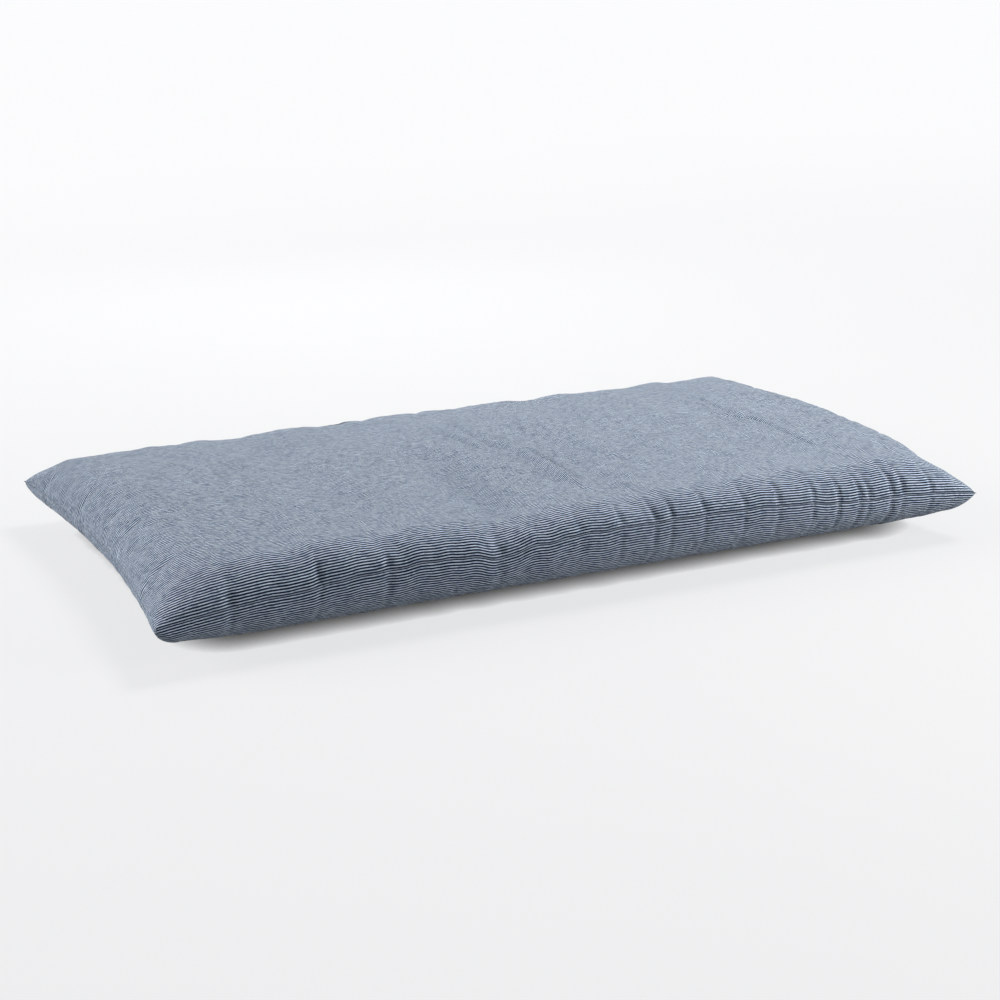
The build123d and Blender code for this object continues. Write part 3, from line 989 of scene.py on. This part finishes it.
def zip_coil(name, side):
    """One nylon coil: a flattened helix of monofilament along the tape's edge."""
    low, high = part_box(f"zip_coil_{name}")
    nose = SEAM + side * COIL_PART
    tail = high[2] if side > 0 else low[2]
    turns = (high[1] - low[1] - 2 * COIL_WIRE) / COIL_PITCH
    angle = np.linspace(0.0, turns * 2 * math.pi, int(turns * 12))
    y = low[1] + COIL_WIRE + angle / (2 * math.pi) * COIL_PITCH
    middle_z, half_z = (nose + tail) / 2, abs(tail - nose) / 2 - COIL_WIRE
    middle_x, half_x = (low[0] + high[0]) / 2, (high[0] - low[0]) / 2 - COIL_WIRE
    path = np.stack([middle_x + half_x * np.cos(angle), y, middle_z + half_z * np.sin(angle)], axis=-1)
    points, faces = tube(path, COIL_WIRE, 5)
    piece = new_piece(f"zip_coil_{name}_spiral", points, faces, zip_nylon)
    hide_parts(f"zip_coil_{name}")
    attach(piece, "foot_half")


def zip_stitches():
    """Two rows of stitches that hold the tapes, each a short rounded run of thread on the cloth."""
    parts = []
    away = (stitch_high[2] - stitch_low[2]) / 2 - THREAD_RADIUS
    half = STITCH_LENGTH / 2
    run = np.linspace(-half, half, 7)
    rise = np.cos(run / half * math.pi / 2)
    for side, points in outsides.items():
        level = SEAM + side * away
        for y in np.arange(-ZIP_HALF + half, ZIP_HALF - half, 1.3 * STITCH_LENGTH):
            column = np.abs(points[-1, :, 1] - y).argmin()
            rows = points[-WALL_ROWS:, column][::-1]
            surface = np.interp(side * level, side * rows[:, 2], rows[:, 0])
            path = np.stack([surface + 0.0004 * rise, y + run, np.full_like(run, level)], axis=-1)
            parts.append(tube(path, THREAD_RADIUS * (0.3 + 0.7 * rise), 6))
    points, faces = gather(parts)
    piece = new_piece("zip_stitch_rows", points, faces, seam_thread)
    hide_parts("zip_stitching")
    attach(piece, "foot_half")


def care_label():
    """A blank woven label that hangs from the seam with a slight curl."""
    low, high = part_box("care_label")
    tall, wide = high[2] - low[2], high[1] - low[1]
    y, drop = np.meshgrid(np.linspace(low[1], high[1], 26), np.linspace(0.0, 1.0, 38), indexing="ij")
    seam_x = np.interp(y, meeting[-1, :, 1], meeting[-1, :, 0])
    seam_z = np.interp(y, meeting[-1, :, 1], meeting[-1, :, 2])
    aside = (y - low[1]) / wide - 0.5
    curl = LABEL_CURL * drop ** 2 * (1.0 + 1.3 * aside) + 0.0018 * np.cos(aside * 5.0) * drop
    hem = 0.0003 * bump((drop - 0.96) / 0.02)
    clear = 0.0008 + 0.0026 * smooth(drop / 0.08)
    front = np.stack([seam_x + clear + curl + hem, y, seam_z - tall * drop], axis=-1)
    back = front - np.array([LABEL_THICKNESS, 0.0, 0.0])
    piece = shell_piece("care_label_blank", front, back, -1, label_cloth)
    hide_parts("care_label")
    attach(piece, "foot_half")


edge_thread()
for name, side in (("upper", 1), ("lower", -1)):
    zip_tape(name)
    zip_coil(name, side)
zip_stitches()
care_label()
for node in ("zip_slider", "zip_pull_tab", "zip_top_stops", "zip_bottom_stop"):
    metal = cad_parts[node].data.materials
    metal.clear()
    metal.append(zip_metal)


# ---------------------------------------------------------------- studio

def stage_object(name, data):
    """A new object for a mesh, light or camera of the studio."""
    holder = bpy.data.objects.new(name, data)
    bpy.context.scene.collection.objects.link(holder)
    return holder


def lay_floor():
    """A plain pale floor."""
    mesh = bpy.data.meshes.new("floor")
    corners = [(x * FLOOR_REACH, y * FLOOR_REACH, 0) for x, y in ((-1, -1), (1, -1), (1, 1), (-1, 1))]
    mesh.from_pydata(corners, [], [(0, 1, 2, 3)])
    mesh.materials.append(floor_material())
    stage_object("floor", mesh)


def light_world():
    """A bright backdrop for the camera, and a weaker light from all round for everything else."""
    world = bpy.data.worlds.new("studio")
    world.use_nodes = True
    tree = world.node_tree
    seen, light = tree.nodes["Background"], tree.nodes.new("ShaderNodeBackground")
    seen.inputs["Color"].default_value = BACKDROP_COLOR
    seen.inputs["Strength"].default_value = 1.0
    light.inputs["Color"].default_value = WORLD_COLOR
    light.inputs["Strength"].default_value = WORLD_LIGHT
    path = tree.nodes.new("ShaderNodeLightPath")
    choose = tree.nodes.new("ShaderNodeMixShader")
    tree.links.new(path.outputs["Is Camera Ray"], choose.inputs[0])
    tree.links.new(light.outputs[0], choose.inputs[1])
    tree.links.new(seen.outputs[0], choose.inputs[2])
    tree.links.new(choose.outputs[0], tree.nodes["World Output"].inputs[0])
    bpy.context.scene.world = world


def heading(azimuth, elevation):
    """The direction towards an azimuth (0 is +Y, 90 is +X) and an elevation, in degrees."""
    turn, rise = math.radians(azimuth), math.radians(elevation)
    return Vector((math.cos(rise) * math.sin(turn), math.cos(rise) * math.cos(turn), math.sin(rise)))


def hang_lamps():
    """Soft suns from the back right and from the left, and soft boxes at the right front and the back."""
    for name, strength, angle, azimuth, elevation, color in LAMPS:
        lamp = bpy.data.lights.new(name, "SUN")
        lamp.energy = strength
        lamp.angle = math.radians(angle)
        lamp.color = color
        holder = stage_object(name, lamp)
        holder.rotation_euler = heading(azimuth, elevation).to_track_quat("Z", "Y").to_euler()
    for name, power, size, place, aim, color in PANELS:
        lamp = bpy.data.lights.new(name, "AREA")
        lamp.energy = power
        lamp.size = size
        lamp.color = color
        holder = stage_object(name, lamp)
        holder.location = place
        holder.rotation_euler = (Vector(place) - Vector(aim)).to_track_quat("Z", "Y").to_euler()


def set_camera():
    """The camera at the photograph's viewing angle."""
    camera = bpy.data.cameras.new("camera")
    camera.sensor_width = SENSOR
    camera.lens = SENSOR * FOCAL_RATIO
    holder = stage_object("camera", camera)
    holder.location = Vector(VIEW_CENTRE) - heading(VIEW_AZIMUTH, -VIEW_ELEVATION) * VIEW_DISTANCE
    holder.rotation_euler = (math.pi / 2 - math.radians(VIEW_ELEVATION), 0.0, -math.radians(VIEW_AZIMUTH))
    bpy.context.scene.camera = holder


lay_floor()
light_world()
hang_lamps()
set_camera()
bpy.context.scene.view_settings.view_transform = "Standard"
